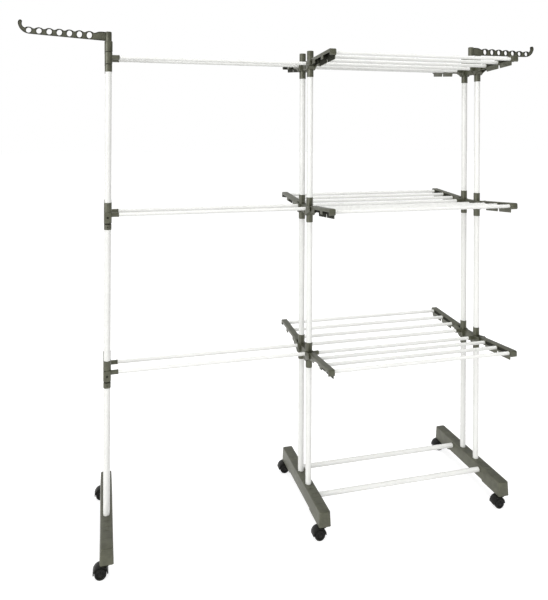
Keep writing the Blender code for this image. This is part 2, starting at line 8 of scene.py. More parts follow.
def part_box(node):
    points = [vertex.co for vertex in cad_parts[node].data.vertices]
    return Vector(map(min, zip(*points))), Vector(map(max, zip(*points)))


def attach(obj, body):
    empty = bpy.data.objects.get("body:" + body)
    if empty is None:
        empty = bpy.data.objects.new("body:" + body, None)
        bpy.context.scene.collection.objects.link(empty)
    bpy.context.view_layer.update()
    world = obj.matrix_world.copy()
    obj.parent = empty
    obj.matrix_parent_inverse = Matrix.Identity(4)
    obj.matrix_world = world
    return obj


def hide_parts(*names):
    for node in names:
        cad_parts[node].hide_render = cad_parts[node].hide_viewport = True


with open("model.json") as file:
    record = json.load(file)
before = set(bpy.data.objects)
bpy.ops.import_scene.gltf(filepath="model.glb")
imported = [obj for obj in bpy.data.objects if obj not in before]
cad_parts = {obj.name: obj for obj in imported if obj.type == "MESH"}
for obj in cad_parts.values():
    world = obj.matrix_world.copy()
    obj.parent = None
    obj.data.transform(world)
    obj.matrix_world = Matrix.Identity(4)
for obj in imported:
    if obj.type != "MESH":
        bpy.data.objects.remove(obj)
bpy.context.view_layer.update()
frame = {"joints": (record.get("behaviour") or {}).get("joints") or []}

# The rack stands on a plain pale floor in soft light from the upper left,
# so each white tube is bright along its left side and grey along its right.
# The camera is at eye height, a little left of the middle.
FOCAL_SHARE = 1.041
EYE = Vector((-0.7126, -2.1992, 1.3858))
YAW, ROLL = 0.2665, 0.0045
CENTRE_RIGHT, CENTRE_UP = -0.0008, -0.2890
LIGHT_FROM_LEFT, LIGHT_FROM_RIGHT = 0.70, 0.38
SHEEN_FROM_LEFT, SHEEN_FROM_RIGHT = 1.0, 0.35
FLOOR_COLOUR, FLOOR_GLOW = (0.55, 0.55, 0.55, 1), 0.74
FLOOR_REACH, FLOOR_LEVEL = 30, -0.0004


def node_in(tree, kind, settings=None, sockets=None):
    """Add one node to a tree: its settings first, then the values or links of its sockets."""
    node = tree.nodes.new(kind)
    for name, value in (settings or {}).items():
        setattr(node, name, value)
    for name, value in (sockets or {}).items():
        socket = next(s for s in node.inputs if name in (s.identifier, s.name) and s.enabled)
        if isinstance(value, bpy.types.NodeSocket):
            tree.links.new(value, socket)
        else:
            socket.default_value = value
    return node


camera_data = bpy.data.cameras.new("camera")
camera_data.lens = camera_data.sensor_width * FOCAL_SHARE
camera_data.shift_x = CENTRE_RIGHT
camera_data.shift_y = CENTRE_UP
camera = bpy.data.objects.new("camera", camera_data)
bpy.context.scene.collection.objects.link(camera)
bpy.context.scene.camera = camera
ahead = Vector((math.sin(YAW), math.cos(YAW), 0))
level = Vector((math.cos(YAW), -math.sin(YAW), 0))
rise = Vector((0, 0, 1))
across = level * math.cos(ROLL) + rise * math.sin(ROLL)
upward = rise * math.cos(ROLL) - level * math.sin(ROLL)
camera.matrix_world = Matrix.Translation(EYE) @ Matrix((across, upward, -ahead)).transposed().to_4x4()

bpy.context.scene.view_settings.view_transform = "Standard"
world = bpy.data.worlds.new("studio")
bpy.context.scene.world = world
world.use_nodes = True
world.node_tree.nodes.clear()


def looked_at(tree):
    """1 for a ray that the eye, glass or gloss follows and 0 for light that only falls on the rack."""
    seen = node_in(tree, "ShaderNodeLightPath")
    through = node_in(tree, "ShaderNodeMath", {"operation": "MAXIMUM"},
                      {"Value": seen.outputs["Is Camera Ray"],
                       "Value_001": seen.outputs["Is Transmission Ray"]})
    return node_in(tree, "ShaderNodeMath", {"operation": "MAXIMUM"},
                   {"Value": through.outputs[0], "Value_001": seen.outputs["Is Glossy Ray"]})


def sky_node(kind, settings, sockets):
    """Add one node to the world."""
    return node_in(world.node_tree, kind, settings, sockets).outputs[0]


# The soft light and what the gloss reflects both fade towards the right. The eye sees plain white.
WHITE = (1, 1, 1, 1)
seen = node_in(world.node_tree, "ShaderNodeLightPath")
direction = node_in(world.node_tree, "ShaderNodeTexCoord").outputs["Generated"]
towards_right = sky_node("ShaderNodeSeparateXYZ", {}, {"Vector": direction})
reflected = sky_node("ShaderNodeMapRange", {},
                     {"Value": towards_right, "From Min": -0.2, "From Max": 0.9,
                      "To Min": SHEEN_FROM_LEFT, "To Max": SHEEN_FROM_RIGHT})
backdrop = sky_node("ShaderNodeMix", {},
                    {"Factor_Float": seen.outputs["Is Glossy Ray"], "A_Float": 1.0, "B_Float": reflected})
falling = sky_node("ShaderNodeMapRange", {},
                   {"Value": towards_right, "From Min": -0.8, "From Max": 0.8,
                    "To Min": LIGHT_FROM_LEFT, "To Max": LIGHT_FROM_RIGHT})
soft = sky_node("ShaderNodeBackground", {}, {"Color": WHITE, "Strength": falling})
white = sky_node("ShaderNodeBackground", {}, {"Color": WHITE, "Strength": backdrop})
choice = sky_node("ShaderNodeMixShader", {},
                  {"Fac": looked_at(world.node_tree).outputs[0], "Shader": soft, "Shader_001": white})
node_in(world.node_tree, "ShaderNodeOutputWorld", {}, {"Surface": choice})

# Only the key lamp shows as a sheen. The others just lift the front and the top of the white tubes.
for name, place, aim, size, watts, sheen in (
        ("key_lamp", (-11.0, -6.3, 3.5), (-0.1, 0, 0.8), 6.0, 680, True),
        ("front_lamp", (0.4, -6.4, 2.0), (0.1, 0, 0.7), 4.0, 170, False),
        ("top_lamp", (0.2, 0.0, 5.2), (0.1, 0, 0.7), 3.0, 100, False)):
    lamp_data = bpy.data.lights.new(name, "AREA")
    lamp_data.size = size
    lamp_data.energy = watts
    lamp = bpy.data.objects.new(name, lamp_data)
    lamp.visible_glossy = sheen
    bpy.context.scene.collection.objects.link(lamp)
    facing = (Vector(aim) - Vector(place)).to_track_quat("-Z", "Y")
    lamp.matrix_world = Matrix.Translation(place) @ facing.to_matrix().to_4x4()

floor_paint = bpy.data.materials.new("studio_floor")
floor_paint.use_nodes = True
floor_paint.node_tree.nodes.clear()
glow = node_in(floor_paint.node_tree, "ShaderNodeMath", {"operation": "MULTIPLY"},
               {"Value": looked_at(floor_paint.node_tree).outputs[0], "Value_001": FLOOR_GLOW})
base = node_in(floor_paint.node_tree, "ShaderNodeBsdfDiffuse", {}, {"Color": FLOOR_COLOUR})
lift = node_in(floor_paint.node_tree, "ShaderNodeEmission", {}, {"Strength": glow.outputs[0]})
both = node_in(floor_paint.node_tree, "ShaderNodeAddShader", {},
               {"Shader": base.outputs[0], "Shader_001": lift.outputs[0]})
node_in(floor_paint.node_tree, "ShaderNodeOutputMaterial", {}, {"Surface": both.outputs[0]})
floor_mesh = bpy.data.meshes.new("floor")
floor_corners = [(across * FLOOR_REACH, along * FLOOR_REACH, FLOOR_LEVEL)
                 for across, along in ((-1, -1), (1, -1), (1, 1), (-1, 1))]
floor_mesh.from_pydata(floor_corners, [], [(0, 1, 2, 3)])
floor_mesh.materials.append(floor_paint)
floor = bpy.data.objects.new("floor", floor_mesh)
bpy.context.scene.collection.objects.link(floor)

# The posts are straight thin-walled steel tubes, drawn to size and then coated with warm white
# stove enamel. The enamel has a faint orange-peel skin, soft duller patches and a few scuffs.
POST_DIAMETER = 0.0214
TUBE_SIDES = 44
ENAMEL_COLOUR = (0.81, 0.812, 0.785)
ENAMEL_SHADE = (0.735, 0.738, 0.708)


class Amount:
    """A number or a colour on its way through a material's nodes."""

    def __init__(self, tree, socket):
        self.tree = tree
        self.socket = socket

    def node(self, kind, settings=None, sockets=None, output=0):
        """Any other node of the same material, as the amount that one of its outputs gives."""
        plain = {name: value.socket if isinstance(value, Amount) else value
                 for name, value in (sockets or {}).items()}
        return Amount(self.tree, node_in(self.tree, kind, settings, plain).outputs[output])

    def math(self, operation, first, second=0.0):
        return self.node("ShaderNodeMath", {"operation": operation}, {"Value": first, "Value_001": second})

    def __add__(self, other):
        return self.math("ADD", self, other)

    def __sub__(self, other):
        return self.math("SUBTRACT", self, other)

    def __rsub__(self, other):
        return self.math("SUBTRACT", other, self)

    def __mul__(self, other):
        return self.math("MULTIPLY", self, other)

    __radd__ = __add__
    __rmul__ = __mul__

    def between(self, low, high):
        """0 below low, 1 above high and a smooth ramp in between."""
        return self.node("ShaderNodeMapRange", {"interpolation_type": "SMOOTHSTEP"},
                         {"Value": self, "From Min": low, "From Max": high})

    def blend(self, first, second):
        """The first colour where this amount is 0 and the second where it is 1."""
        colours = {"A_Color": first, "B_Color": second}
        for name, value in colours.items():
            if isinstance(value, tuple):
                colours[name] = (*value, 1.0)
        return self.node("ShaderNodeMix", {"data_type": "RGBA"}, {"Factor_Float": self, **colours}, 2)


def new_finish(name):
    """A material with its shader, and where a point of the piece lies."""
    material = bpy.data.materials.new(name)
    material.use_nodes = True
    tree = material.node_tree
    place = node_in(tree, "ShaderNodeTexCoord").outputs["Object"]
    return material, tree.nodes["Principled BSDF"], Amount(tree, place)


def cloud(place, scale, detail=2.0, rough=0.5):
    """Soft random patches, 0 to 1."""
    return place.node("ShaderNodeTexNoise", {},
                      {"Vector": place, "Scale": scale, "Detail": detail, "Roughness": rough})


def coat(shader, colour, roughness, height, depth):
    """Join a finish's varying colour, roughness and relief to its shader."""
    tree = colour.tree
    tree.links.new(colour.socket, shader.inputs["Base Color"])
    tree.links.new(roughness.socket, shader.inputs["Roughness"])
    relief = height.node("ShaderNodeBump", {}, {"Height": height, "Strength": 0.6, "Distance": depth})
    tree.links.new(relief.socket, shader.inputs["Normal"])


enamel, shader, place = new_finish("white_enamel")
peel = cloud(place, 900, 2.0)
patches = cloud(place, 9, 3.0, 0.6).between(0.42, 0.68)
scuffs = cloud(place, 60, 4.0, 0.7).between(0.66, 0.74)
coat(shader, (patches * 0.5 + scuffs * 0.5).blend(ENAMEL_COLOUR, ENAMEL_SHADE),
     patches * 0.08 + scuffs * 0.16 + 0.24, peel * 0.7 + cloud(place, 220) * 0.3, 0.00012)
shader.inputs["Coat Weight"].default_value = 0.25
shader.inputs["Coat Roughness"].default_value = 0.12

tube_tree = bpy.data.node_groups.new("tubes_from_points", "GeometryNodeTree")
tube_sockets = {}
for name, kind in (("Geometry", "NodeSocketGeometry"), ("Run", "NodeSocketVector"),
                   ("Diameter", "NodeSocketFloat"), ("Sides", "NodeSocketInt"),
                   ("Finish", "NodeSocketMaterial")):
    tube_sockets[name] = tube_tree.interface.new_socket(name, in_out="INPUT", socket_type=kind).identifier
tube_tree.interface.new_socket("Geometry", in_out="OUTPUT", socket_type="NodeSocketGeometry")
given = node_in(tube_tree, "NodeGroupInput")
line = node_in(tube_tree, "GeometryNodeCurvePrimitiveLine", {}, {"End": given.outputs["Run"]})
half = node_in(tube_tree, "ShaderNodeMath", {"operation": "MULTIPLY"},
               {"Value": given.outputs["Diameter"], "Value_001": 0.5})
ring = node_in(tube_tree, "GeometryNodeCurvePrimitiveCircle", {},
               {"Resolution": given.outputs["Sides"], "Radius": half.outputs[0]})
skin = node_in(tube_tree, "GeometryNodeCurveToMesh", {},
               {"Curve": line.outputs[0], "Profile Curve": ring.outputs[0], "Fill Caps": True})
copies = node_in(tube_tree, "GeometryNodeInstanceOnPoints", {},
                 {"Points": given.outputs["Geometry"], "Instance": skin.outputs[0]})
solid = node_in(tube_tree, "GeometryNodeRealizeInstances", {}, {"Geometry": copies.outputs[0]})
painted = node_in(tube_tree, "GeometryNodeSetMaterial", {},
                  {"Geometry": solid.outputs[0], "Material": given.outputs["Finish"]})
node_in(tube_tree, "NodeGroupOutput", {}, {"Geometry": painted.outputs[0]})


def plain_mesh(holder, name):
    """The mesh that an object's curve and modifiers give. The object itself goes."""
    bpy.context.view_layer.update()
    mesh = bpy.data.meshes.new_from_object(holder.evaluated_get(bpy.context.evaluated_depsgraph_get()))
    bpy.data.objects.remove(holder)
    mesh.name = name
    return mesh


def tube_mesh(starts, run, diameter, name):
    """Equal straight tubes, one from each start point."""
    points = bpy.data.meshes.new(name)
    points.from_pydata([tuple(start) for start in starts], [], [])
    holder = bpy.data.objects.new(name, points)
    bpy.context.scene.collection.objects.link(holder)
    grow = holder.modifiers.new("tubes", "NODES")
    grow.node_group = tube_tree
    for socket, value in (("Run", run), ("Diameter", diameter), ("Sides", TUBE_SIDES), ("Finish", enamel)):
        grow[tube_sockets[socket]] = value
    return plain_mesh(holder, name)


def put(mesh, name, body, nodes):
    """Show a finished mesh as one piece that rides on a body and stands for CAD nodes."""
    mesh.shade_smooth()
    mesh.set_sharp_from_angle(angle=math.radians(38))
    piece = bpy.data.objects.new(name, mesh)
    bpy.context.scene.collection.objects.link(piece)
    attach(piece, body)
    if nodes:
        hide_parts(*nodes)
    return piece


for side in ("left", "mid", "right"):
    for end in ("front", "rear"):
        low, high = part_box(f"{side}_{end}_post")
        middle = (low + high) / 2
        name = f"{side}_{end}_tube"
        mesh = tube_mesh([(middle.x, middle.y, low.z)], (0, 0, high.z - low.z), POST_DIAMETER, name)
        put(mesh, name, "frame", [f"{side}_{end}_post"])

# The straight rods between the frames are the same enamelled tube, thinner, and slid into
# sockets at both ends. Two carry the laundry on each tier of both bays, and two thicker
# ones tie the feet of the tower together.
ROD_DIAMETER = 0.0124
BASE_ROD_DIAMETER = 0.0180

straight_rods = [(f"{bay}_{tier}_{end}_rod", ROD_DIAMETER) for bay in ("tower", "extension")
                 for tier in ("bottom", "middle", "top") for end in ("front", "rear")]
straight_rods += [(f"base_{end}_rod", BASE_ROD_DIAMETER) for end in ("front", "rear")]
for node, diameter in straight_rods:
    low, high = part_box(node)
    middle = (low + high) / 2
    mesh = tube_mesh([(low.x, middle.y, middle.z)], (high.x - low.x, 0, 0), diameter, node + "_tube")
    put(mesh, node + "_tube", "frame", [node])

# Each tier connector is one moulding in dark olive-grey plastic. It slips over both posts of a frame,
# ties them with a bridge that is hollow below, takes the rods in stubs on its inner side
# and carries a drilled lug at each end for the folding wings.
COLLAR_RADIUS = 0.0121
COLLAR_BORE = 0.0109
COLLAR_ABOVE, COLLAR_BELOW = 0.041, 0.049
CAP_ABOVE = 0.046
HUB_RADIUS, HUB_HALF_LENGTH, HUB_DROP = 0.0168, 0.0166, 0.008
STUB_RADIUS, STUB_REACH, ROD_BORE = 0.0076, 0.036, 0.0063
LUG_RADIUS, LUG_WIDTH, PIN_HOLE = 0.0082, 0.0164, 0.0034
CHEEK_RADIUS, CHEEK_ROOT, CHEEK_IN, CHEEK_OUT = 0.0116, 0.0155, 0.0122, 0.0165
BRIDGE_HALF, BRIDGE_TOP, BRIDGE_BOTTOM, WALL = 0.009, 0.009, 0.020, 0.0025
EDGE = 0.0006
PLASTIC_COLOUR = (0.035, 0.036, 0.021)
PLASTIC_PALE = (0.060, 0.062, 0.039)
PLASTIC_DARK = (0.021, 0.022, 0.012)
PLASTIC_SHEEN, PLASTIC_GLOSS = (1.0, 1.0, 0.84, 1.0), 0.95
# An outline drawn as (y, z) is thickened along X, and one drawn as (x, z) is thickened along Y.
ALONG_X = Matrix(((0, 0, 1, 0), (1, 0, 0, 0), (0, 1, 0, 0), (0, 0, 0, 1)))
ALONG_Y = Matrix(((1, 0, 0, 0), (0, 0, 1, 0), (0, 1, 0, 0), (0, 0, 0, 1)))


def moulded_finish(name, dark, middle, pale, gloss):
    """Moulded plastic with flow marks, a fine grain and rubbed spots."""
    material, shader, place = new_finish(name)
    mottle = cloud(place, 130, 3.0, 0.6).between(0.35, 0.65)
    flow = cloud(place, 38, 2.0).between(0.4, 0.62)
    grain = cloud(place, 1400, 2.0, 0.6)
    rubbed = cloud(place, 75, 5.0, 0.75).between(0.62, 0.78)
    tone = mottle.blend(dark, middle)
    tone = (flow * 0.55).blend(tone, pale)
    coat(shader, (rubbed * 0.5).blend(tone, pale), mottle * 0.07 + grain * 0.08 - rubbed * 0.08 + 0.34,
         grain * 0.6 + cloud(place, 420) * 0.4, 0.00006)
    shader.inputs["Specular IOR Level"].default_value = gloss
    shader.inputs["Specular Tint"].default_value = PLASTIC_SHEEN
    return material


plastic = moulded_finish("grey_plastic", PLASTIC_DARK, PLASTIC_COLOUR, PLASTIC_PALE, PLASTIC_GLOSS)

# Inside the channels and hollows the tool is left unpolished, so the plastic is dull. Its darker colour there
# is painted shade, for the shadow inside them.
HOLLOW_SHADE_DARK = (0.016, 0.017, 0.011)
HOLLOW_SHADE_PALE = (0.024, 0.025, 0.017)
inside_shade, shader, place = new_finish("grey_plastic_painted_shade")
haze = cloud(place, 160, 3.0, 0.6).between(0.3, 0.7)
coat(shader, haze.blend(HOLLOW_SHADE_DARK, HOLLOW_SHADE_PALE), haze * 0.08 + 0.74, cloud(place, 700), 0.0003)
shader.inputs["Specular IOR Level"].default_value = 0.2


def shell(shape, place=Matrix()):
    """A closed shape as a mesh, moved into place with its faces turned outwards."""
    bmesh.ops.remove_doubles(shape, verts=shape.verts, dist=0.00001)
    shape.transform(place)
    bmesh.ops.recalc_face_normals(shape, faces=shape.faces)
    mesh = bpy.data.meshes.new("shape")
    shape.to_mesh(mesh)
    shape.free()
    return mesh


def lathe(profile, place, sides=TUBE_SIDES):
    """Turned shape from (radius, height) points. A profile that ends off the axis closes on itself."""
    shape = bmesh.new()
    rings = []
    for radius, height in profile:
        angles = [math.tau * i / sides for i in range(sides if radius else 1)]
        rings.append([shape.verts.new((radius * math.cos(a), radius * math.sin(a), height)) for a in angles])
    pairs = list(zip(rings, rings[1:]))
    if profile[0][0]:
        pairs.append((rings[-1], rings[0]))
    for lower, upper in pairs:
        for i in range(sides):
            corners = [lower[i % len(lower)], lower[(i + 1) % len(lower)],
                       upper[(i + 1) % len(upper)], upper[i % len(upper)]]
            shape.faces.new(list(dict.fromkeys(corners)))
    return shell(shape, place)


def slab(outlines, thickness, edge, place):
    """Flat moulding from closed outlines, the later ones being holes, with softened edges."""
    curve = bpy.data.curves.new("slab", "CURVE")
    curve.dimensions = "2D"
    curve.fill_mode = "BOTH"
    curve.extrude = thickness / 2 - edge
    curve.bevel_depth = edge
    curve.bevel_resolution = 1
    curve.offset = -edge
    for outline in outlines:
        spline = curve.splines.new("POLY")
        spline.points.add(len(outline) - 1)
        for point, (first, second) in zip(spline.points, outline):
            point.co = (first, second, 0, 1)
        spline.use_cyclic_u = True
    holder = bpy.data.objects.new("slab", curve)
    bpy.context.scene.collection.objects.link(holder)
    mesh = plain_mesh(holder, "slab")
    shape = bmesh.new()
    shape.from_mesh(mesh)
    bpy.data.meshes.remove(mesh)
    return shell(shape, place)


def bar(low, high, edge=EDGE):
    """Straight moulded bar between two corners, with softened edges."""
    low, high = Vector(low), Vector(high)
    shape = bmesh.new()
    bmesh.ops.create_cube(shape, size=1)
    bmesh.ops.scale(shape, verts=shape.verts, vec=high - low)
    bmesh.ops.translate(shape, verts=shape.verts, vec=(low + high) / 2)
    if edge:
        bmesh.ops.bevel(shape, geom=shape.edges[:], offset=edge, segments=2, profile=0.5, affect="EDGES")
    return shell(shape)


def arc(centre, radius, start, end, count):
    """Points along an arc, angles in degrees, both ends included."""
    angles = [math.radians(start + (end - start) * i / count) for i in range(count + 1)]
    return [(centre[0] + radius * math.cos(a), centre[1] + radius * math.sin(a)) for a in angles]


def stadium(start, end, radius, count=14):
    """Outline of a bar with round ends between two points."""
    heading = math.degrees(math.atan2(end[1] - start[1], end[0] - start[0]))
    return (arc(end, radius, heading - 90, heading + 90, count)
            + arc(start, radius, heading + 90, heading + 270, count))


def moulding(parts, finish, shaded_shapes=(), inner=None, second=inside_shade):
    """Closed shapes as one mesh. The shaded shapes, and faces within inner, get the second finish, which is
    painted shade.
    """
    shape = bmesh.new()
    for dull_and_shaded, group in enumerate((parts, shaded_shapes)):
        for part in group:
            known = len(shape.faces)
            shape.from_mesh(part)
            bpy.data.meshes.remove(part)
            shape.faces.ensure_lookup_table()
            for face in shape.faces[known:]:
                face.material_index = dull_and_shaded
    if inner:
        for face in shape.faces:
            if all(inner(corner.co) for corner in face.verts):
                face.material_index = 1
    mesh = bpy.data.meshes.new("moulding")
    shape.to_mesh(mesh)
    shape.free()
    mesh.materials.append(finish)
    mesh.materials.append(second)
    return mesh


def at(x, y, z):
    """Move a shape to a point."""
    return Matrix.Translation((x, y, z))


SEAT_BOTTOM, SEAT_TOP, SEAT_RADIUS = 0.018, 0.053, 0.0132
SEAT_WEB_HALF, SEAT_FLANGE = 0.0052, 0.005
BOSS_RADIUS, PEG_BORE = 0.0125, 0.0063
GROOVE, WIDE_GROOVE = 0.0020, 0.0040
SEAM_DROP, WIDE_SEAM_DROP, SEAM_STEP = 0.0225, 0.0275, 0.0006
PLATE_HALF, PLATE_PROUD, PLATE_ABOVE, PLATE_BELOW, PLATE_DEPTH = 0.0105, 0.0026, 0.0095, 0.0262, 0.006
BLANK_HUB, DIMPLE, DIMPLE_DROP = 0.0054, 0.0034, 0.0400
PIN_HEAD = 0.0052
SPAN_END = 0.0105
tier_z = {tier: sum(corner.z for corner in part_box(f"tower_{tier}_front_rod")) / 2
          for tier in ("bottom", "middle", "top")}
frame_x = {side: sum(corner.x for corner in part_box(f"{side}_front_post")) / 2
           for side in ("left", "mid", "right")}
post_y = sum(corner.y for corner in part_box("mid_rear_post")) / 2
hinges = {joint["name"]: Vector(joint["pos_m"]) for joint in frame["joints"]}
span = 2 * (post_y - SPAN_END)
channel_half = BRIDGE_HALF - WALL


def turned_to(axis, way):
    """Stand a turned shape along another axis, the positive way round or the negative."""
    return Matrix.Rotation(math.radians(90 * way), 4, axis)


def cap(x, y, mouth, top, radius):
    """Closed collar over the top end of a post."""
    profile = [(0, top), (radius - 0.0020, top), (radius - EDGE, top - EDGE), (radius, top - 0.0020),
               (radius, mouth + 0.0005), (radius - 0.0005, mouth), (COLLAR_BORE, mouth),
               (COLLAR_BORE, top - WALL), (0, top - WALL)]
    return lathe(profile, at(x, y, 0))


def collar(x, y, low, high, radius):
    """Open collar round a post."""
    profile = [(COLLAR_BORE, low), (radius - EDGE, low), (radius, low + EDGE), (radius, high - EDGE),
               (radius - EDGE, high), (COLLAR_BORE, high)]
    return lathe(profile, at(x, y, 0))


def painted_groove_shade(x, y, low, high):
    """Wall in the groove between two collars, painted dark as the shade in the groove."""
    radius = COLLAR_RADIUS - 0.0010
    return lathe([(COLLAR_BORE, low), (radius, low), (radius, high), (COLLAR_BORE, high)], at(x, y, 0))


def rod_stub(x, y, z, inward):
    """Short socket with a rolled lip that a straight rod enters, and a bore lining painted dark as the shade
    in the bore.
    """
    bore, lip = ROD_BORE + 0.0004, STUB_RADIUS + 0.0005
    sideways = at(x, y, z) @ turned_to("Y", inward)
    outside = [(bore, 0.009), (STUB_RADIUS, 0.009), (STUB_RADIUS, STUB_REACH - 0.0042),
               (lip, STUB_REACH - 0.0036), (lip, STUB_REACH - EDGE), (STUB_RADIUS + 0.0001, STUB_REACH),
               (bore, STUB_REACH)]
    mouth = STUB_REACH - 0.0003
    shade_lining = [(ROD_BORE, 0.010), (ROD_BORE + 0.0005, 0.010), (ROD_BORE + 0.0005, mouth), (ROD_BORE, mouth)]
    return lathe(outside, sideways), lathe(shade_lining, sideways)


def blank_plate(x, y, z, turn):
    """Plate with a round blank where a wing's hub would be, and a dimple below it. A dark disc of painted
    shade lies in each.
    """
    face, low = COLLAR_RADIUS + PLATE_PROUD, z - PLATE_BELOW
    outline = arc((x, low + PLATE_HALF), PLATE_HALF, 180, 360, 20)
    outline += [(x + PLATE_HALF, z + PLATE_ABOVE), (x - PLATE_HALF, z + PLATE_ABOVE)]
    middle = at(0, y + turn * (face + PLATE_DEPTH) / 2, 0)
    parts = [slab([outline], face - PLATE_DEPTH, 0.0010, middle @ ALONG_Y)]
    dark = []
    for drop, size, out in ((HUB_DROP, BLANK_HUB, face), (DIMPLE_DROP, DIMPLE, COLLAR_RADIUS - 0.0002)):
        ahead = at(x, y + turn * out, z - drop) @ turned_to("X", -turn)
        parts.append(lathe([(0, -0.001), (size, -0.001), (size, 0.0004), (size - 0.0004, 0.0008),
                            (size - 0.0014, 0.0008), (size - 0.0016, 0.0002), (0, 0.0002)], ahead, 24))
        dark.append(lathe([(0, 0), (size - 0.0018, 0), (size - 0.0018, 0.0003), (0, 0.0003)], ahead, 24))
    return parts, dark


def wing_hinge(x, y, z, turn, pin):
    """Round hub, drilled lug, and a cheek with a pin's head on each side of the lug. The lug takes the dark
    finish, painted shade between the cheeks.
    """
    h, r = HUB_HALF_LENGTH, HUB_RADIUS
    face = [(0, h - 0.0004), (0.0044, h - 0.0004), (0.0050, h - 0.0010), (0.0054, h - 0.0016),
            (0.0124, h - 0.0016), (0.0130, h - 0.0010), (0.0134, h), (r - 0.0012, h),
            (r - 0.0003, h - 0.0004), (r, h - 0.0013)]
    profile = face + [(radius, -height) for radius, height in reversed(face)]
    parts = [lathe(profile, at(x, y, z - HUB_DROP) @ turned_to("Y", 1))]
    hole = arc((pin.y, pin.z), PIN_HOLE, 0, 360, 20)[:-1]
    lug = slab([stadium((y, z), (pin.y, pin.z), LUG_RADIUS), hole], LUG_WIDTH, 0.0009, at(x, 0, 0) @ ALONG_X)
    cheek = [(y, z - HUB_DROP + CHEEK_ROOT)] + arc((pin.y, pin.z), CHEEK_RADIUS, 90, 90 - 180 * turn, 20)
    cheek += [(y, z - HUB_DROP - CHEEK_ROOT)]
    head = [(0, 0), (PIN_HEAD, 0), (PIN_HEAD, 0.0007), (PIN_HEAD - 0.0004, 0.0011), (0.0034, 0.0013),
            (0.0030, 0.0009), (0, 0.0009)]
    for way in (-1, 1):
        middle = x + way * (CHEEK_IN + CHEEK_OUT) / 2
        parts.append(slab([cheek], CHEEK_OUT - CHEEK_IN, 0.0008, at(middle, 0, 0) @ ALONG_X))
        out = at(x + way * (CHEEK_OUT - 0.0006), pin.y, pin.z) @ turned_to("Y", way)
        parts.append(lathe(head, out, 28))
    return parts, [lug]


def bridge(x, z):
    """Channel between the two collars, open below, with one rib across its middle."""
    half, inner, roof, low = BRIDGE_HALF, channel_half, z + BRIDGE_TOP, z - BRIDGE_BOTTOM
    section = [(x - half, low), (x - inner, low), (x - inner, roof - WALL), (x + inner, roof - WALL),
               (x + inner, low), (x + half, low), (x + half, roof), (x - half, roof)]
    rib = bar((x - inner - 0.001, -0.001, low + 0.003), (x + inner + 0.001, 0.001, roof - 0.001), 0.0003)
    return [slab([section], span, 0.0008, ALONG_Y), rib]


def hanger_seat(x, z):
    """Bored boss for the hanger's peg, held between the caps by a flanged web."""
    low, high, half = z + SEAT_BOTTOM, z + SEAT_TOP, BRIDGE_HALF
    boss = lathe([(PEG_BORE, low), (BOSS_RADIUS - EDGE, low), (BOSS_RADIUS, low + EDGE),
                  (BOSS_RADIUS, high - 0.0012), (BOSS_RADIUS - 0.0012, high), (PEG_BORE, high)], at(x, 0, 0))
    bars = [(SEAT_WEB_HALF, low + 0.001, high - 0.001), (half, low, low + SEAT_FLANGE),
            (half, high - SEAT_FLANGE, high)]
    return [boss] + [bar((x - wide, -span / 2, start), (x + wide, span / 2, stop))
                     for wide, start, stop in bars]


for side, x in frame_x.items():
    for tier, z in tier_z.items():
        capped = tier == "top"
        seated = capped and side != "mid"
        parts, shaded_shapes = bridge(x, z), []
        if seated:
            parts += hanger_seat(x, z)
        low = z - COLLAR_BELOW
        for end, turn in (("front", -1), ("rear", 1)):
            y = turn * post_y
            if seated:
                parts.append(cap(x, y, z + SEAT_BOTTOM, z + SEAT_TOP, SEAT_RADIUS))
            elif capped:
                parts.append(cap(x, y, low, z + CAP_ABOVE, COLLAR_RADIUS))
            if seated or not capped:
                stop = z + (SEAT_BOTTOM - GROOVE if seated else COLLAR_ABOVE)
                seam, gap = (z - SEAM_DROP, GROOVE) if seated else (z - WIDE_SEAM_DROP, WIDE_GROOVE)
                if side == "left":
                    parts.append(collar(x, y, low, seam - gap, COLLAR_RADIUS))
                    parts.append(collar(x, y, seam, stop, COLLAR_RADIUS + SEAM_STEP))
                else:
                    parts.append(collar(x, y, low, stop, COLLAR_RADIUS))
                if seated:
                    shaded_shapes.append(painted_groove_shade(x, y, low + 0.002, stop + GROOVE + 0.001))
                elif side == "left":
                    shaded_shapes.append(painted_groove_shade(x, y, low + 0.002, stop - 0.002))
            stub, bore = rod_stub(x, y, z, -1 if side == "right" else 1)
            parts.append(stub)
            shaded_shapes.append(bore)
            shown, dark = [], []
            if side != "left":
                shown, dark = wing_hinge(x, y, z, turn, hinges[f"{end}_{tier}_wing_fold"])
            elif not seated:
                shown, dark = blank_plate(x, y, z, turn)
            parts += shown
            shaded_shapes += dark

        # Faces inside the channel under the bridge take the dark finish, painted shade.
        def shade_under_bridge(point):
            return (abs(point.x - x) < channel_half + 0.0009 and abs(point.y) < span / 2 + 0.0001
                    and -BRIDGE_BOTTOM - 0.0001 < point.z - z < BRIDGE_TOP - WALL + 0.0009)

        mesh = moulding(parts, plastic, shaded_shapes, shade_under_bridge)
        put(mesh, f"{side}_{tier}_joiner", "frame", [f"{side}_{tier}_connector"])

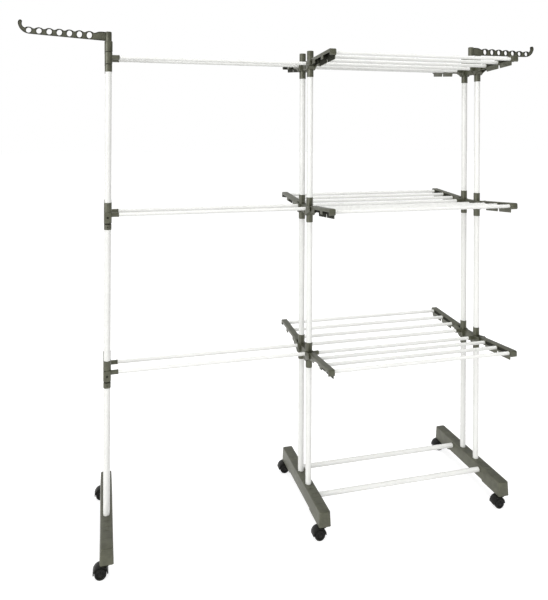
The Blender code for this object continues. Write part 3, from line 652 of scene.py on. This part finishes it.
# Each folding wing has two channel-shaped plastic arms, open below, that turn on pins in the connectors'
# lugs. The wall away from the rods has two long notches, the wall that holds the rods drops into
# two tapered flaps, and three enamelled rods run from one arm to the other.
ARM_RADIUS, ARM_WIDTH, ARM_TIP = 0.011, 0.022, 0.0175
ROD_PITCH, FIRST_ROD, WING_TILT = 0.0745, 0.071, math.radians(4.2)
PIVOT_OUT = 0.034
NOTCHES = ((0.046, 0.111), (0.131, 0.197))
NOTCH_TOP, ARM_CORNER, RING_RADIUS, SOCKET_RADIUS, SOCKET_DEPTH = 0.0002, 0.0055, 0.0086, 0.0092, 0.0120
FLAPS, FLAP_TOP, FLAP_DROP, FLAP_TAPER = ((0.040, 0.1165), (0.1215, 0.194)), -0.0056, 0.0120, 0.0025
SHADE_LINING_TAPER = 0.0024
RECESS, RECESS_LOW, RECESS_HIGH, RECESS_GAP = 0.0014, -0.0050, 0.0072, 0.0090
arm_rods = [(FIRST_ROD - PIVOT_OUT) / math.cos(WING_TILT) + ROD_PITCH * i for i in range(3)]


def carved(mesh, cutters, name="carved"):
    """A closed shape with other closed shapes taken out of it."""
    holder = bpy.data.objects.new(name, mesh)
    bpy.context.scene.collection.objects.link(holder)
    tools = []
    for cutter in cutters:
        tool = bpy.data.objects.new(name, cutter)
        bpy.context.scene.collection.objects.link(tool)
        tools.append(tool)
        cut = holder.modifiers.new("cut", "BOOLEAN")
        cut.operation = "DIFFERENCE"
        cut.object = tool
    result = plain_mesh(holder, name)
    for tool in tools:
        bpy.data.objects.remove(tool)
    return result


def tapered(turn, first, last, high, low, taper):
    """Outline of a flap that narrows downwards, as (distance along turn * Y, height)."""
    return [(turn * first, high), (turn * last, high), (turn * (last - taper), low),
            (turn * (first + taper), low)]


def arm_parts(facing, turn):
    """One arm about its pin, running out along turn * Y, its rods on the facing side."""
    r, half = ARM_RADIUS, ARM_WIDTH / 2
    clear = half - WALL
    tip = arm_rods[-1] + ARM_TIP
    bend = tip - ARM_CORNER
    outline = (arc((bend, ARM_CORNER - r), ARM_CORNER, -90, 0, 6)
               + arc((bend, r - ARM_CORNER), ARM_CORNER, 0, 90, 6) + arc((0, 0), r, 90, 270, 18))
    body = slab([[(turn * a, b) for a, b in outline]], ARM_WIDTH, 0.0011, ALONG_X)
    ends = sorted((turn * (-r - 0.004), turn * bend))
    cutters = [bar((-clear, ends[0], -r - 0.005), (clear, ends[1], r - WALL), 0)]
    for start, stop in NOTCHES:
        ends = sorted((turn * start, turn * stop))
        faces = sorted((-facing * (clear - 0.001), -facing * (half + 0.004)))
        cutters.append(bar((faces[0], ends[0], -r - 0.005), (faces[1], ends[1], NOTCH_TOP), 0.0014))
    for rod in arm_rods[:2]:
        ends = sorted((turn * (rod + RECESS_GAP), turn * (rod + ROD_PITCH - RECESS_GAP)))
        faces = sorted((facing * (half - RECESS), facing * (half + 0.004)))
        cutters.append(bar((faces[0], ends[0], RECESS_LOW), (faces[1], ends[1], RECESS_HIGH), 0.0003))
    parts = [carved(body, cutters)]
    shaded_shapes = []
    low = -r - FLAP_DROP
    for start, stop in FLAPS:
        flap = tapered(turn, start, stop, FLAP_TOP, low, FLAP_TAPER)
        parts.append(slab([flap], 0.0019, 0.0004, at(facing * (half - 0.0014), 0, 0) @ ALONG_X))
        # The back of each flap is lined with painted shade.
        shade_lining = tapered(turn, start + 0.001, stop - 0.001, FLAP_TOP - 0.0004, low + 0.001, SHADE_LINING_TAPER)
        shaded_shapes.append(slab([shade_lining], 0.0006, 0.0001, at(facing * (half - 0.0025), 0, 0) @ ALONG_X))
    ring = [(ROD_BORE, -0.0016), (RING_RADIUS, -0.0016), (RING_RADIUS, 0.0003),
            (RING_RADIUS - 0.0005, 0.0008), (ROD_BORE, 0.0008)]
    socket = [(0, -SOCKET_DEPTH), (RING_RADIUS, -SOCKET_DEPTH), (SOCKET_RADIUS, -SOCKET_DEPTH + 0.0008),
              (SOCKET_RADIUS, -0.0005), (0, -0.0005)]
    for rod in arm_rods:
        sideways = at(facing * half, turn * rod, 0) @ turned_to("Y", facing)
        parts.append(lathe(ring, sideways, 32))
        # A dark socket and a dark rib at each rod are painted shade inside the channel.
        shaded_shapes.append(lathe(socket, sideways, 32))
        reach = sorted((facing * (half - 0.001), -facing * 0.0040))
        shaded_shapes.append(bar((reach[0], turn * rod - 0.0012, -r + 0.0010),
                          (reach[1], turn * rod + 0.0012, r - 0.001), 0.0003))
    head = [(0, -0.001), (PIN_HEAD, -0.001), (PIN_HEAD, 0.0001), (0.0046, 0.0006), (0.0022, 0.0008),
            (0, 0.0008)]
    for way in (-1, 1):
        parts.append(lathe(head, at(way * half, 0, 0) @ turned_to("Y", way), 28))
    pin = 0.0030
    parts.append(lathe([(0, -clear - 0.001), (pin, -clear - 0.001), (pin, clear + 0.001), (0, clear + 0.001)],
                       turned_to("Y", 1), 20))

    # Faces inside the channel and in the recesses between the rods take the dark finish, painted shade.
    def shade_in_channel(point):
        under = abs(point.x) < clear + 0.0001 and point.z < r - WALL + 0.0001 and abs(point.y) < bend + 0.0001
        return under or (clear < point.x * facing < half - 0.0001
                         and RECESS_LOW - 0.0001 < point.z < RECESS_HIGH + 0.0001)

    return moulding(parts, plastic, shaded_shapes, shade_in_channel)


for end, turn in (("front", -1), ("rear", 1)):
    lean = Matrix.Rotation(turn * WING_TILT, 4, "X")
    for side, facing in (("mid", 1), ("right", -1)):
        arm = arm_parts(facing, turn)
        for tier in tier_z:
            pin = hinges[f"{end}_{tier}_wing_fold"]
            x = frame_x[side]
            mesh = arm.copy()
            mesh.transform(at(x, pin.y, pin.z) @ lean)
            body = f"{end}_{tier}_wing"
            if side == "right":
                put(mesh, f"{end}_{tier}_far_arm", body, [f"{end}_{tier}_wing_arm"])
                continue
            put(mesh, f"{end}_{tier}_near_arm", body, [f"{end}_{tier}_wing_rods"])
            run = frame_x["right"] - x - ARM_WIDTH + WALL + 0.004
            starts = [at(x, pin.y, pin.z) @ lean @ Vector((ARM_WIDTH / 2 - WALL, turn * rod, 0))
                      for rod in arm_rods]
            rods = tube_mesh(starts, (run, 0, 0), ROD_DIAMETER, f"{end}_{tier}_laundry_rods")
            put(rods, f"{end}_{tier}_laundry_rods", body, [])

# The feet are long hollow mouldings in the same plastic, drafted to leave the tool, with
# rounded ends. Both posts of a frame stand in sockets in the top, the base rods enter the inner
# side, and a deeper skirt at each end covers the caster's plate.
FOOT_DRAFT, SKIRT_DROP, SKIRT_LENGTH = 0.0025, 0.005, 0.105
FOOT_CORNER, FOOT_RIM, FOOT_SHRINK = 0.0055, 0.0024, 0.0012
STEM_SOCKET, STEM_SOCKET_HEIGHT = 0.0046, 0.0245
MARKS, MARK_WIDE, MARK_LONG, END_LINE = (0.084, 0.116, 0.136), 0.0085, 0.0028, 0.053
BASE_ROD_Y = sum(corner.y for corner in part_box("base_rear_rod")) / 2
BASE_ROD_Z = sum(corner.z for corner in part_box("base_rear_rod")) / 2


def foot_mesh(x, low, high, rods_from):
    """One foot: drafted shell with pockets below, socket rims and shallow marks on the top."""
    half = (high.x - low.x) / 2
    reach = (high.y - low.y) / 2
    top, skirt = high.z, low.z
    bottom = skirt + SKIRT_DROP
    step = reach - SKIRT_LENGTH
    outline = [(-reach, skirt), (-step, skirt), (-step + SKIRT_DROP, bottom), (step - SKIRT_DROP, bottom),
               (step, skirt), (reach, skirt), (reach, top), (-reach, top)]
    shape = bmesh.new()
    for way in (-1, 1):
        shape.faces.new([shape.verts.new((x + way * half, y, z)) for y, z in outline])
    shape.verts.ensure_lookup_table()
    count = len(outline)
    for i in range(count):
        j = (i + 1) % count
        shape.faces.new([shape.verts[i], shape.verts[j], shape.verts[count + j], shape.verts[count + i]])
    for corner in shape.verts:
        share = (corner.co.z - skirt) / (top - skirt)
        corner.co.x += (x - corner.co.x) / half * FOOT_DRAFT * share
        if abs(corner.co.y) > step + 0.01:
            corner.co.y -= math.copysign(FOOT_SHRINK * share, corner.co.y)
    bmesh.ops.recalc_face_normals(shape, faces=shape.faces)
    upright = [edge for edge in shape.edges if abs(edge.verts[0].co.z - edge.verts[1].co.z) > 0.03]
    bmesh.ops.bevel(shape, geom=upright, offset=FOOT_CORNER, segments=5, profile=0.5, affect="EDGES")
    rim = [edge for edge in shape.edges if min(v.co.z for v in edge.verts) > top - 0.0001
           and any(face.normal.z < 0.5 for face in edge.link_faces)]
    bmesh.ops.bevel(shape, geom=rim, offset=FOOT_RIM, segments=3, profile=0.5, affect="EDGES")
    body = shell(shape)
    cutters = []
    pocket = half - FOOT_DRAFT - WALL
    post_wall, rod_wall = COLLAR_BORE + WALL, 0.009 + WALL
    caster_y = abs(hinges["mid_front_caster_swivel"].y)
    edges = [post_y - post_wall, post_y + post_wall, BASE_ROD_Y - rod_wall, BASE_ROD_Y + rod_wall,
             caster_y - 0.012]
    edges = sorted(edges + [-edge for edge in edges])
    for start, stop in zip(edges[::2], edges[1::2]):
        cutters.append(bar((x - pocket, start, skirt - 0.004), (x + pocket, stop, top - WALL), 0))
    post_socket = [(0, top - 0.0022), (0.0124, top - 0.0022), (0.0130, top + 0.001), (0, top + 0.001)]
    high = skirt + STEM_SOCKET_HEIGHT
    stem_socket = [(0, skirt - 0.001), (STEM_SOCKET, skirt - 0.001), (STEM_SOCKET, high), (0, high)]
    for turn in (-1, 1):
        cutters.append(lathe(post_socket, at(x, turn * post_y, 0)))
        cutters.append(lathe(stem_socket, at(x, turn * caster_y, 0), 24))
        for spot in (turn * mark for mark in MARKS):
            cutters.append(bar((x - MARK_WIDE, spot - MARK_LONG, top - 0.0005),
                               (x + MARK_WIDE, spot + MARK_LONG, top + 0.002), 0.0002))
        spot = turn * (reach - END_LINE)
        cutters.append(bar((x - half, spot - 0.0005, top - 0.0005),
                           (x + half, spot + 0.0005, top + 0.002), 0))
    parts = [carved(body, cutters)]
    if rods_from:
        rim = [(0.0091, -0.004), (0.0118, -0.004), (0.0118, 0.0008), (0.0112, 0.0014), (0.0091, 0.0014)]
        for turn in (-1, 1):
            side = at(x + rods_from * (half - 0.0022), turn * BASE_ROD_Y, BASE_ROD_Z)
            parts.append(lathe(rim, side @ turned_to("Y", rods_from)))

    # Faces inside the pockets under the foot take the dark finish, painted shade.
    def shade_in_pocket(point):
        return (abs(point.x - x) < pocket + 0.0001 and abs(point.y) < edges[-1] + 0.0001
                and skirt + 0.001 < point.z < top - WALL + 0.0001)

    return moulding(parts, plastic, (), shade_in_pocket)


for side, x in frame_x.items():
    low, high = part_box(f"{side}_foot")
    mesh = foot_mesh(x, low, high, {"left": 0, "mid": 1, "right": -1}[side])
    put(mesh, f"{side}_beam", "frame", [f"{side}_foot"])

# The casters are twin-wheel swivel casters in black nylon. The stem snaps into the foot, the hood covers
# the upper half of both wheels, and the wheels share one axle on each side of a central web.
WHEEL_RADIUS, WHEEL_INNER, WHEEL_OUTER = 0.0185, 0.0038, 0.0173
HOOD_RADIUS, HOOD_HALF, HOOD_WEB, HOOD_HUB = 0.0235, 0.0153, 0.0035, 0.0080
WELL_RADIUS, WELL_REACH = 0.0197, 0.02
AXLE_BORE, AXLE_REACH, RIB_SET_IN, STEM_RADIUS = 0.0034, 0.01, 0.0016, 0.0040
RIB_SIZE, RIB_INNER, RIB_OUTER = (0.0080, 0.0012, 0.0022), 0.0042, 0.0120
SPOKES = 6
NYLON_BLACK, NYLON_DUSTY = (0.004, 0.004, 0.003), (0.021, 0.021, 0.015)

nylon, shader, place = new_finish("caster_black")
dust = cloud(place, 90, 4.0, 0.65).between(0.5, 0.75)
speck = cloud(place, 1100, 2.0)
coat(shader, (dust * 0.7).blend(NYLON_BLACK, NYLON_DUSTY), dust * 0.16 + speck * 0.08 + 0.34,
     speck, 0.00025)
shader.inputs["Specular IOR Level"].default_value = 0.2

spoke_tree = bpy.data.node_groups.new("ribs_round_a_hub", "GeometryNodeTree")
spoke_sockets = {}
for name, kind in (("Count", "NodeSocketInt"), ("Inner", "NodeSocketFloat"), ("Outer", "NodeSocketFloat"),
                   ("Size", "NodeSocketVector"), ("Finish", "NodeSocketMaterial")):
    spoke_sockets[name] = spoke_tree.interface.new_socket(name, in_out="INPUT", socket_type=kind).identifier
spoke_tree.interface.new_socket("Geometry", in_out="OUTPUT", socket_type="NodeSocketGeometry")
given = node_in(spoke_tree, "NodeGroupInput")
middle = node_in(spoke_tree, "ShaderNodeMath", {"operation": "ADD"},
                 {"Value": given.outputs["Inner"], "Value_001": given.outputs["Outer"]})
middle = node_in(spoke_tree, "ShaderNodeMath", {"operation": "MULTIPLY"},
                 {"Value": middle.outputs[0], "Value_001": 0.5})
circle = node_in(spoke_tree, "GeometryNodeMeshCircle", {},
                 {"Vertices": given.outputs["Count"], "Radius": middle.outputs[0]})
spot = node_in(spoke_tree, "GeometryNodeInputPosition")
facing = node_in(spoke_tree, "FunctionNodeAlignRotationToVector", {"axis": "X"}, {"Vector": spot.outputs[0]})
rib = node_in(spoke_tree, "GeometryNodeMeshCube", {}, {"Size": given.outputs["Size"]})
copies = node_in(spoke_tree, "GeometryNodeInstanceOnPoints", {},
                 {"Points": circle.outputs[0], "Instance": rib.outputs[0], "Rotation": facing.outputs[0]})
solid = node_in(spoke_tree, "GeometryNodeRealizeInstances", {}, {"Geometry": copies.outputs[0]})
painted = node_in(spoke_tree, "GeometryNodeSetMaterial", {},
                  {"Geometry": solid.outputs[0], "Material": given.outputs["Finish"]})
node_in(spoke_tree, "NodeGroupOutput", {}, {"Geometry": painted.outputs[0]})


def spoke_mesh(size, inner, outer, place):
    """Flat ribs that stand between a wheel's hub and its rim."""
    holder = bpy.data.objects.new("spokes", bpy.data.meshes.new("spokes"))
    bpy.context.scene.collection.objects.link(holder)
    grow = holder.modifiers.new("ribs", "NODES")
    grow.node_group = spoke_tree
    for socket, value in (("Count", SPOKES), ("Inner", inner), ("Outer", outer), ("Size", size),
                          ("Finish", nylon)):
        grow[spoke_sockets[socket]] = value
    mesh = plain_mesh(holder, "spokes")
    shape = bmesh.new()
    shape.from_mesh(mesh)
    bpy.data.meshes.remove(mesh)
    return shell(shape, place)


for side, x in frame_x.items():
    for end in ("front", "rear"):
        axle = hinges[f"{side}_{end}_wheels_spin"]
        stem = hinges[f"{side}_{end}_caster_swivel"]
        lay = at(*axle) @ turned_to("X", 1)
        hood = arc((0, 0), HOOD_RADIUS, -3.7, 183.7, 32)
        body = slab([hood], 2 * HOOD_HALF, 0.0016, at(*axle) @ ALONG_Y)
        inner, outer = HOOD_WEB, WELL_REACH
        wells = [lathe([(0, way * inner), (WELL_RADIUS, way * inner), (WELL_RADIUS, way * outer),
                        (0, way * outer)], lay) for way in (-1, 1)]
        web = lathe([(0, -inner), (HOOD_HUB, -inner), (HOOD_HUB, inner), (0, inner)], lay)
        bore = lathe([(0, -AXLE_REACH), (AXLE_BORE, -AXLE_REACH), (AXLE_BORE, AXLE_REACH), (0, AXLE_REACH)],
                     lay, 24)
        parts = [carved(body, wells), carved(web, [bore])]
        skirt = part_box(f"{side}_foot")[0].z
        rise = axle.z + 0.0180
        swivel = [(0, rise), (0.0090, rise), (0.0090, skirt - 0.0009), (0.0084, skirt - 0.0003),
                  (STEM_RADIUS, skirt - 0.0003), (STEM_RADIUS, skirt + 0.0225), (0.0030, skirt + 0.0238),
                  (0, skirt + 0.0238)]
        parts.append(lathe(swivel, at(stem.x, stem.y, 0), 32))
        put(moulding(parts, nylon), f"{side}_{end}_hood", f"{side}_{end}_caster",
            [f"{side}_{end}_caster_hood"])
        r, near, far = WHEEL_RADIUS, WHEEL_INNER, WHEEL_OUTER
        disc = [(0, far), (0.0036, far), (0.0046, far - 0.0006), (0.0050, far - 0.0016),
                (0.0112, far - 0.0024), (0.0118, far - 0.0008), (0.0124, far - 0.0003),
                (r - 0.0034, far - 0.0003), (r - 0.0012, far - 0.0012), (r - 0.0003, far - 0.0028),
                (r, far - 0.0050), (r, near + 0.0030), (r - 0.0006, near + 0.0010), (r - 0.0016, near),
                (0.0029, near)]
        profile = disc + [(radius, -height) for radius, height in reversed(disc)]
        parts = [lathe(profile, lay)]
        for way in (-1, 1):
            ribs = lay @ at(0, 0, way * (far - RIB_SET_IN))
            parts.append(spoke_mesh(RIB_SIZE, RIB_INNER, RIB_OUTER, ribs))
        put(moulding(parts, nylon), f"{side}_{end}_twin_wheels", f"{side}_{end}_wheels",
            [f"{side}_{end}_caster_wheels"])

# The two hanger arms are flat perforated mouldings that keep clothes hangers apart. A thin web
# is stiffened by a rim along its edges and a ring round each hole, the end turns up in a tall
# hook, and the sleeve at the root has a peg that turns in the top connector's seat.
SLEEVE_RADIUS, SLEEVE_HEIGHT = 0.01075, 0.0370
NECK_TOP, NECK_END = 0.0357, 0.0330
HOLES, FIRST_HOLE, LAST_HOLE, HOLE_WIDTH = 7, 0.0635, 0.2555, 0.0170
FIRST_HOLE_HEIGHT, LAST_HOLE_HEIGHT = 0.0220, 0.0170
HANGER_LOW, HOLE_RIM, VALLEY_DEPTH = 0.0060, 0.0030, 0.0062
HOOK_REACH, HOOK_BEND, HOOK_TOP, HOOK_TIP = 0.2903, 0.0375, 0.0495, 0.0060
HOOK_TIP_IN, HOOK_INNER_BEND, HOOK_INNER_OUT, HOOK_INNER_DROP = 0.0072, 0.0150, 0.0081, 0.0105
HOOK_STEPS, TIP_STEPS, INNER_STEPS, HOLE_SIDES = 18, 8, 12, 32
HOLE_RING, PEG_RADIUS, PEG_LENGTH, SEAT_GAP = 0.0018, 0.0060, 0.024, 0.0003
HANGER_THICKNESS, HANGER_WEB, RIM_WIDTH = 0.009, 0.0050, 0.0021
HOLE_PITCH = (LAST_HOLE - FIRST_HOLE) / (HOLES - 1)
RIM_SHADE_COLOUR = (0.016, 0.017, 0.010)
RIM_SHADE_PALE = (0.030, 0.031, 0.021)
RIM_SHADE_DARK = (0.010, 0.011, 0.007)
RIM_GLOSS = 0.3

# The rims are a darker finish than the web between them: painted shade along the edges.
rim_shade_plastic = moulded_finish("grey_plastic_rim_painted_shade", RIM_SHADE_DARK, RIM_SHADE_COLOUR, RIM_SHADE_PALE, RIM_GLOSS)


def eased(points, rounds=2):
    """A closed outline with its corners cut smooth."""
    for _ in range(rounds):
        smooth = []
        for (ax, ay), (bx, by) in zip(points, points[1:] + points[:1]):
            smooth.append((ax * 0.75 + bx * 0.25, ay * 0.75 + by * 0.25))
            smooth.append((ax * 0.25 + bx * 0.75, ay * 0.25 + by * 0.75))
        points = smooth
    return points


def inset(points, distance):
    """A closed outline moved inwards, whichever way round it runs."""
    area = sum(ax * by - bx * ay for (ax, ay), (bx, by) in zip(points, points[1:] + points[:1]))
    way = 1 if area > 0 else -1
    moved = []
    for i, (px, py) in enumerate(points):
        before, after = Vector(points[i - 1]), Vector(points[(i + 1) % len(points)])
        along = (after - before).normalized()
        moved.append((px - along.y * distance * way, py + along.x * distance * way))
    return moved


def hanger_lines(rise):
    """Outline and holes of a hanger arm as (distance from the sleeve's axis, height)."""
    start = SLEEVE_RADIUS / 2
    holes = []
    for i in range(HOLES):
        height = FIRST_HOLE_HEIGHT + (LAST_HOLE_HEIGHT - FIRST_HOLE_HEIGHT) * i / (HOLES - 1)
        holes.append((FIRST_HOLE + HOLE_PITCH * i, HANGER_LOW + HOLE_RIM + height / 2, height))
    outline = [(0.001, HANGER_LOW), (0.010, HANGER_LOW)]
    outline += arc((HOOK_REACH - HOOK_BEND, HANGER_LOW + HOOK_BEND), HOOK_BEND, -90, -4, HOOK_STEPS)
    outline += arc((HOOK_REACH - HOOK_TIP_IN, HOOK_TOP - HOOK_TIP), HOOK_TIP, 35, 150, TIP_STEPS)
    outline += arc((LAST_HOLE + HOOK_INNER_OUT, HOOK_TOP - HOOK_INNER_DROP), HOOK_INNER_BEND, 16, -75,
                   INNER_STEPS)
    shoulder = HOLE_PITCH * 0.22
    for s, h, height in reversed(holes):
        top = h + height / 2 + HOLE_RIM
        below = top - VALLEY_DEPTH * 0.2
        outline += [(s + shoulder, below), (s, top), (s - shoulder, below),
                    (s - HOLE_PITCH / 2, top - VALLEY_DEPTH)]
    outline += [(NECK_END, NECK_TOP), (0.010, NECK_TOP), (0.001, NECK_TOP)]

    def raised(s, h):
        run, up = s - start, h - HANGER_LOW
        return (start + run * math.cos(rise) - up * math.sin(rise),
                HANGER_LOW + run * math.sin(rise) + up * math.cos(rise))

    rings = []
    for s, h, height in holes:
        ring = [(s + HOLE_WIDTH / 2 * math.cos(a), h + height / 2 * math.sin(a))
                for a in (math.tau * i / HOLE_SIDES for i in range(HOLE_SIDES))]
        rings.append([raised(*point) for point in ring])
    return [raised(*point) for point in outline], rings


for side, outward, slope in (("left", -1, 3.3), ("right", 1, 0.3)):
    x = frame_x[side]
    z = tier_z["top"] + SEAT_TOP + SEAT_GAP
    outline, rings = hanger_lines(math.radians(slope))
    outline = eased(outline)
    draw = at(x, 0, z) @ ALONG_Y @ Matrix.Diagonal((outward, 1, 1, 1))
    parts = [slab([outline, *rings], HANGER_WEB, 0.0005, draw)]
    # The rims and hole rings take the darker rim finish, painted shade along the edges.
    rims = [slab([outline, inset(outline, RIM_WIDTH)], HANGER_THICKNESS, 0.0008, draw)]
    for ring in rings:
        rims.append(slab([inset(ring, -HOLE_RING), ring], HANGER_THICKNESS - 0.0006, 0.0006, draw))
    peg, r, high = PEG_RADIUS, SLEEVE_RADIUS, SLEEVE_HEIGHT + SEAT_GAP
    sleeve = [(0, -PEG_LENGTH), (peg - 0.001, -PEG_LENGTH), (peg, -PEG_LENGTH + 0.001), (peg, 0),
              (r - 0.0004, 0), (r, 0.0004), (r, high - 0.0024), (r - 0.0008, high - 0.0008),
              (r - 0.0024, high), (0, high)]
    parts.append(lathe(sleeve, at(x, 0, z)))
    put(moulding(parts, plastic, rims, None, rim_shade_plastic), f"{side}_hanger_rail", f"{side}_hanger",
        [f"{side}_hanger_arm"])
